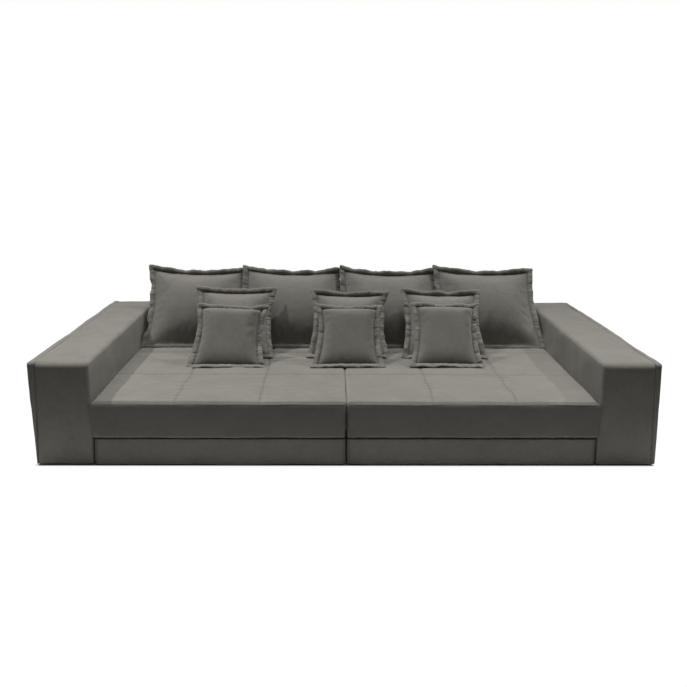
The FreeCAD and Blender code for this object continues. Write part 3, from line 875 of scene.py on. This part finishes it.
def start_cloth(name, kind, seed):
    """An unfilled cover, as a cloth with its seam held."""
    spec = KINDS[kind]
    line = cushion_axis(spec["size"], spec["flange"], spec["cell"] * (1.0))
    count = len(line)
    places = sewn_places(spec, line)
    within = slice(FLANGE_CELLS, -FLANGE_CELLS)
    deeper = slice(FLANGE_CELLS + 1, -FLANGE_CELLS - 1)
    body = np.zeros((count, count), bool)
    body[deeper, deeper] = True
    hem = np.ones((count, count), bool)
    hem[within, within] = False
    front = np.arange(count * count).reshape(count, count)
    back = front.copy()
    back[body] = count * count + np.arange(body.sum())
    points = np.zeros((count * count + body.sum(), 3))
    points[front.ravel()] = places.reshape(-1, 3)
    points[back[body]] = (places * (1, -1, 1))[body]
    points[:, 1] += np.random.default_rng(seed).normal(0, START_NOISE, len(points))
    quads = np.concatenate([grid_quads(front), grid_quads(back[within, within])[:, OVER]])
    mesh = bpy.data.meshes.new(name + "_cloth")
    mesh.from_pydata(points.tolist(), [], quads.tolist())
    cover = bpy.data.objects.new(name + "_cloth", mesh)
    SCENE.collection.objects.link(cover)
    air = np.setdiff1d(np.arange(len(points)), front[hem])
    for label, members in (("air", air), ("seam", front[~hem & ~body])):
        cover.vertex_groups.new(name=label).add(members.tolist(), 1.0, "REPLACE")
    cloth = cover.modifiers.new("cloth", "CLOTH")
    for key, value in CLOTH_RULES.items():
        setattr(cloth.settings, key, value)
    cloth.settings.effector_weights.gravity = 0
    cloth.collision_settings.use_collision = False
    cloth.point_cache.frame_end = SIM_FRAMES + 1
    return cover, front, back, line


def fill_cushions():
    """Fills every cover at once, and gives each one's front and back grids."""
    covers = {name: start_cloth(name, *row[:2]) for name, row in CUSHIONS.items()}
    for number in range(1, SIM_FRAMES + 1):
        SCENE.frame_set(number)
    graph = bpy.context.evaluated_depsgraph_get()
    grids = {}
    for name, (cover, front, back, line) in covers.items():
        mesh = cover.evaluated_get(graph).data
        points = np.zeros(len(mesh.vertices) * 3, np.float32)
        mesh.vertices.foreach_get("co", points)
        points = points.reshape(-1, 3).astype(float)
        grids[name] = (points[front], points[back], line)
    for cover, *_ in covers.values():
        bpy.data.objects.remove(cover)
    SCENE.frame_set(1)
    return grids


def finer(grid, axis):
    """Puts a smooth point between each two along an axis, apart at the seams."""
    grid = np.moveaxis(grid, axis, 0)
    last = len(grid) - 1
    stops = (0, FLANGE_CELLS, last - FLANGE_CELLS, last)
    parts = []
    for start, end in zip(stops, stops[1:]):
        run = grid[start:end + 1]
        ends = np.concatenate([2 * run[:1] - run[1:2], run, 2 * run[-1:] - run[-2:-1]])
        between = (9 * (ends[1:-2] + ends[2:-1]) - ends[:-3] - ends[3:]) / 16
        both = np.zeros((2 * len(run) - 1, *run.shape[1:]))
        both[::2], both[1::2] = run, between
        parts.append(both if start == 0 else both[1:])
    return np.moveaxis(np.concatenate(parts), 0, axis)


def calm(grid):
    """Takes the smallest creases out of a filled body, away from its seam."""
    first = FLANGE_CELLS + 1
    body = slice(first, -first)
    before, after = slice(first - 1, -first - 1), slice(first + 1, 1 - first)
    for _ in range(CALM_TIMES):
        around = grid[before, body] + grid[after, body] + grid[body, before] + grid[body, after]
        grid[body, body] = 0.5 * grid[body, body] + 0.125 * around
    return grid


def bend_flange(grid, cells, axis, end, root, tip):
    """Curls a flange about its seam, by root there and tip at the hem, forward if positive."""
    rows = np.moveaxis(grid, axis, 0)[::-1 if end else 1]
    away = 1.0 if end else -1.0
    plane = 2 * axis
    base = rows[cells].copy()
    reach, rise, before = np.zeros((3, len(base)))
    for step in range(1, cells + 1):
        row = rows[cells - step]
        out, lift = (row - base)[:, plane] * away, (row - base)[:, 1]
        turn = root + (tip - root) * (step - 0.5) / cells
        reach += (out - before) * np.cos(turn)
        rise -= (out - before) * np.sin(turn)
        before = out
        row[:, plane] = base[:, plane] + away * (reach + lift * np.sin(turn))
        row[:, 1] = base[:, 1] + rise + lift * np.cos(turn)


class Flat:
    """Places on a cushion's flat grid, from its middle and from its seam."""

    def __init__(self, line, spec):
        self.line, self.size, self.flange = line, spec["size"], spec["flange"]
        self.inner = self.size / 2 - self.flange
        self.x, self.z = np.meshgrid(line, line, indexing="ij")
        self.over_x, self.over_z = np.abs(self.x) - self.inner, np.abs(self.z) - self.inner
        self.gap = np.maximum(self.over_x, self.over_z)
        self.side = self.over_x > self.over_z
        self.along = np.where(self.side, self.z, self.x)
        self.away = np.clip(self.gap / self.flange, 0, 1)


def fill_out(front, back, flat, spec):
    """Gives a filled body its crown in front and behind."""
    middle = len(flat.line) // 2
    half = (back[middle, middle, 1] - front[middle, middle, 1]) / 2
    room = flat.inner - NEAR_ZERO
    inside = (np.abs(flat.x) < room) & (np.abs(flat.z) < room)
    for grid, crown, shown in zip((front, back), spec["crown"], (1, 0)):
        height = np.clip(np.abs(grid[inside, 1]) / half, 0, 1)
        filled = (1 - (1 - height) ** spec["full"]) ** (spec["round"] if shown else 1.0)
        filled *= 1 + shown * spec["tilt"] * flat.z[inside] / flat.inner
        grid[inside, 1] = np.sign(grid[inside, 1]) * crown * filled


def gathers(flat, rng):
    """How deep the gathers across the seam are at each point."""
    least, mean, most = GATHER_DEPTH
    crease = np.zeros_like(flat.gap)
    for sign in (-1, 1):
        for picked, amount in ((flat.side & (flat.x * sign > 0), GATHER_SIDES),
                               (~flat.side & (flat.z * sign > 0), GATHER_ENDS)):
            run = flat.along[picked]
            beat = run / GATHER + GATHER_STRAY * ripple(run[:, None], 0.10, rng)
            deep = np.clip(mean + GATHER_STRAY * ripple(run[:, None], 0.09, rng), least, most)
            crease[picked] = amount * deep * (1 - np.abs(np.sin(np.pi * beat)) ** 0.7)
    return crease


def lay_gathers(front, back, flat, crease):
    """Presses the gathers into the body and ruffles the flange."""
    inward = np.minimum(flat.gap, 0)
    tuck = crease * np.exp(inward / 0.015) * (flat.gap < 0) * (1 - np.exp(inward / 0.004))
    front[..., 1] += TUCK_FRONT * tuck
    back[..., 1] -= TUCK_BACK * tuck
    ruffle = RUFFLE * (crease - 0.3) * np.sqrt(flat.away)
    front[..., 1] += ruffle
    back[..., 1] += ruffle


def curl_flanges(front, back, flat, cells, bends, rng):
    """Curls the four flanges, and gives the back the front's flange."""
    sheet = front.copy()
    ends = 1 - 0.5 * np.abs(flat.line / (flat.size / 2)) ** 6
    waves = [LOOSE_TURN * ripple(flat.line[:, None], LOOSE_SIZE, rng) for _ in FLANGES]
    for (axis, end), turns, wave, loose in zip(FLANGES, bends, waves, LOOSE):
        root, tip = np.radians(turns)
        bend_flange(sheet, cells, axis, end, root * ends + wave * loose, tip * ends + wave * loose)
    hem = flat.gap > NEAR_ZERO
    front[hem] = sheet[hem]
    back[hem] = sheet[hem]


def shape_ears(front, back, flat, rng):
    """Blunts the flange's corners and pulls each one out a little."""
    fx, fz = (np.clip(over / flat.flange, 0, 1) for over in (flat.over_x, flat.over_z))
    ear = (fx * fz) ** 0.8
    blunt = np.maximum(fx, fz) / np.maximum((fx ** 3 + fz ** 3) ** (1 / 3), 1e-9)
    cut = np.where(fx * fz > 0, 1 - blunt, 0)
    for grid in (front, back):
        for axis, over, outer in ((0, fx, flat.x), (2, fz, flat.z)):
            grid[..., axis] -= np.sign(outer) * flat.flange * over * cut
    for sign_x in (-1, 1):
        for sign_z in (-1, 1):
            corner = ear * (flat.x * sign_x > 0) * (flat.z * sign_z > 0)
            pull = rng.uniform(*EAR_PULL)
            turn = rng.uniform(-EAR_TURN, EAR_TURN)
            shift = np.array([sign_x * pull, turn, sign_z * pull * (sign_z > 0)])
            front += corner[..., None] * shift
            back += corner[..., None] * shift


def thicken(front, back, flat, crease):
    """Pads the flange between its seam and its hem, less in the gathers."""
    out = np.cross(np.gradient(front, axis=0), np.gradient(front, axis=1))
    out /= np.linalg.norm(out, axis=-1)[..., None]
    away = flat.away
    roll = np.sqrt(np.clip(1 - ((away - 0.5) / 0.54) ** 2, 0, 1)) * (1 - np.exp(-away / 0.10))
    pressed = 1 - 0.85 * np.clip(crease, 0, 1) * np.exp(-away / 0.55)
    thick = np.where(flat.gap >= -NEAR_ZERO, HEM_THICK + FLANGE_THICK * roll * pressed, 0)
    return front + out * thick[..., None], back - out * thick[..., None]


def cushion_quads(count):
    """The quads of a cushion's front, back and rim."""
    index = np.arange(count * count).reshape(count, count)
    rear = index + count * count
    rim = np.concatenate([index[:-1, 0], index[-1, :-1], index[:0:-1, -1], index[0, :0:-1]])
    after = np.roll(rim, -1)
    hem = np.stack([rim, rim + count * count, after + count * count, after], -1)
    return np.concatenate([grid_quads(index), grid_quads(rear)[:, OVER], hem])


def set_corners(local, flat, spec, corners, spread):
    """Sets a cushion's corners, sides, stand and foot."""
    half = flat.size / 2
    a, b = (np.tile((grid / half).ravel(), 2) for grid in (flat.x, flat.z))
    for (corner_x, corner_z), (sign_x, sign_z) in zip(corners, CORNERS):
        share = (1 + sign_x * a) * (1 + sign_z * b) / 4
        local[:, 0] += share * (corner_x - sign_x * half)
        local[:, 2] += share * (corner_z - sign_z * half)
    local[:, 0] += np.where(a < 0, spread[0], spread[1]) * a * (1 - b ** 2)
    local[:, 1] += spec["back"]
    local[:, 2] -= spec["sag"] * fall(-0.95, -0.30, b)


def cushion_shade(flat, crease, kind, spread):
    """The painted shade in a cushion's seam and gathers, and on a large one's foot and side
    flanges.
    """
    below = ~flat.side & (flat.z < 0)
    hem = flat.gap > 0
    width = np.where(below, SEAM_WIDTHS[1], SEAM_WIDTHS[0])
    painted_shade = np.where(below, SEAM_SHADES[1], SEAM_SHADES[0]) * np.exp(-(flat.gap / width) ** 2)
    # Painted shade in the creases of the gathers
    creased = CREASE_SHADE * np.clip(crease, 0, 1) * np.exp(-flat.away / 0.45) * hem
    painted_shade = np.maximum(painted_shade, creased)
    if kind == "large":
        # Painted shade on a large cushion's bottom flange under its belly, and on side flanges
        # between cushions
        foot = 0.55 + 0.9 * smooth(0.36, 0.50, flat.away)
        painted_shade = np.maximum(painted_shade, np.where(below & hem, foot, 0))
        for way, wide, amount in zip((-1, 1), spread, SIDE_SHADES):
            if wide:
                beside = flat.side & (flat.x * way > 0) & hem
                painted_shade = np.maximum(painted_shade, np.where(beside, amount, 0))
    return painted_shade


def make_cushion(name, front, back, line):
    """A filled cushion with its gathers and flange, in its place on the sofa."""
    kind, seed, corners, bends, spread = CUSHIONS[name]
    spec = KINDS[kind]
    rng = np.random.default_rng(CUSHION_SEED + seed)
    cells = FLANGE_CELLS
    front, back = calm(front), calm(back)
    front, back = (finer(finer(grid, 0), 1) for grid in (front, back))
    line = finer(line[:, None], 0)[:, 0]
    cells *= 2
    flat = Flat(line, spec)
    fill_out(front, back, flat, spec)
    crease = gathers(flat, rng)
    lay_gathers(front, back, flat, crease)
    curl_flanges(front, back, flat, cells, bends, rng)
    shape_ears(front, back, flat, rng)
    front, back = thicken(front, back, flat, crease)
    local = np.concatenate([front.reshape(-1, 3), back.reshape(-1, 3)])
    set_corners(local, flat, spec, corners, spread)
    low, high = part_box(name + "_cover")
    centre = np.array((low + high) / 2)
    face = np.array([0, -math.sin(LEAN), math.cos(LEAN)])
    rise = np.array([0, math.cos(LEAN), math.sin(LEAN)])
    points = centre + local[:, :1] * (1.0, 0, 0) - local[:, 1:2] * face + local[:, 2:] * rise
    place = np.stack([flat.x, flat.z], -1).reshape(-1, 2)
    cloth = np.concatenate([place, place + (1.3, 0)]) + (seed * 0.77, seed * 0.31)
    stitch = np.stack([flat.along, flat.gap + STITCH_INSET], -1).reshape(-1, 2)
    wear = flat.away.ravel() ** 6
    painted_shade = cushion_shade(flat, crease, kind, spread).ravel()
    piece = mesh_piece(name, points, cushion_quads(len(line)), cloth,
                       *(np.concatenate([values, values]) for values in (stitch, wear, painted_shade)))
    nodes = [name + "_cover", name + "_fill"]
    return dress(piece, name, CUSHION_FABRIC, nodes)


for cushion, grids in fill_cushions().items():
    make_cushion(cushion, *grids)


# Floor, world, light and camera
def blank(owner):
    """The emptied node tree of a material or a world."""
    owner.use_nodes = True
    owner.node_tree.nodes.clear()
    return Nodes(owner.node_tree)


def seen_share(nodes):
    """1 for rays from the camera, mirrors and glass."""
    path = nodes.node("LightPath")
    share = path.outputs["Is Camera Ray"]
    for name in ("Is Glossy Ray", "Is Transmission Ray"):
        share = nodes.math("MAXIMUM", share, path.outputs[name])
    return share


def ramp(nodes, value, ends, results):
    """An even change from one result to the other between the value's ends."""
    return nodes.add("MapRange", enumerate((value, *ends, *results)))


def footprint_gap(nodes):
    """How far a point of the floor is from the sofa's footprint."""
    split = nodes.node("SeparateXYZ", {0: nodes.add("TexCoord", out="Object")})
    gaps = [nodes.math("SUBTRACT", nodes.math("ABSOLUTE", split.outputs[number]), edge)
            for number, edge in enumerate(CAD_BOX[1][:2])]
    return nodes.math("MAXIMUM", *gaps)


def make_floor():
    """A wide white floor that keeps the sofa's shadow, dim to other rays."""
    mesh = bpy.data.meshes.new("floor")
    far = FLOOR_REACH
    corners = [(-far, -far, 0), (far, -far, 0), (far, far, 0), (-far, far, 0)]
    mesh.from_pydata(corners, [], [(0, 1, 2, 3)])
    floor = bpy.data.objects.new("floor", mesh)
    SCENE.collection.objects.link(floor)
    material = bpy.data.materials.new("floor")
    nodes = blank(material)
    clear = footprint_gap(nodes)
    glow = nodes.add("Emission", {"Strength": FLOOR_LEVEL})
    white = nodes.add("BsdfDiffuse", {"Color": WHITE})
    share = ramp(nodes, clear, GLOW_EDGE, (0.0, FLOOR_GLOW))
    seen = nodes.add("MixShader", {0: share, 1: white, 2: glow})
    dim = nodes.add("BsdfDiffuse", {"Color": ramp(nodes, clear, GREY_EDGE, FLOOR_GREYS)})
    both = nodes.add("MixShader", {0: seen_share(nodes), 1: dim, 2: seen})
    nodes.node("OutputMaterial", {"Surface": both})
    mesh.materials.append(material)


def make_world():
    """A dome that is white to the camera and gives dim light, most from overhead."""
    world = bpy.data.worlds.new("studio")
    SCENE.world = world
    nodes = blank(world)
    split = nodes.node("SeparateXYZ", {0: nodes.add("TexCoord", out="Generated")})
    level = nodes.math("MULTIPLY", split.outputs["Z"], DOME, use_clamp=True)
    light = nodes.add("Background", {"Color": WHITE, "Strength": level})
    white = nodes.add("Background", {"Color": WHITE})
    both = nodes.add("MixShader", {0: seen_share(nodes), 1: light, 2: white})
    nodes.node("OutputWorld", {"Surface": both})


def add_lamp(name, kind, way, power):
    """A lamp that shines from that way, with its holder."""
    lamp = bpy.data.lights.new(name, kind)
    lamp.energy = power
    holder = bpy.data.objects.new(name, lamp)
    holder.rotation_euler = Vector(way).to_track_quat("Z", "Y").to_euler()
    SCENE.collection.objects.link(holder)
    return lamp, holder


def make_lamps():
    """The far lamps and the beams."""
    for name, way, strength, angle in SUNS:
        lamp, _ = add_lamp(name, "SUN", way, strength)
        lamp.angle = math.radians(angle)
    for name, target, way, power, cone, radius in BEAMS:
        lamp, holder = add_lamp(name, "SPOT", way, power)
        lamp.spot_size = math.radians(cone)
        lamp.spot_blend = 1.0
        lamp.shadow_soft_size = radius
        holder.location = Vector(target) + Vector(way).normalized() * BEAM_DISTANCE


def make_camera():
    """The photograph's camera."""
    data = bpy.data.cameras.new("camera")
    data.sensor_width = SENSOR
    data.lens = FOCAL_PIXELS * SENSOR / IMAGE_SIZE
    camera = bpy.data.objects.new("camera", data)
    pitch, pan, roll = (math.radians(a) for a in CAMERA_TURNS)
    turn = (Matrix.Rotation(pan, 3, "Z") @ Matrix.Rotation(math.pi / 2 - pitch, 3, "X")
            @ Matrix.Rotation(roll, 3, "Z"))
    camera.matrix_world = Matrix.Translation(CAMERA_PLACE) @ turn.to_4x4()
    SCENE.collection.objects.link(camera)
    SCENE.camera = camera


make_floor()
make_world()
make_lamps()
make_camera()
SCENE.view_settings.view_transform = "Standard"
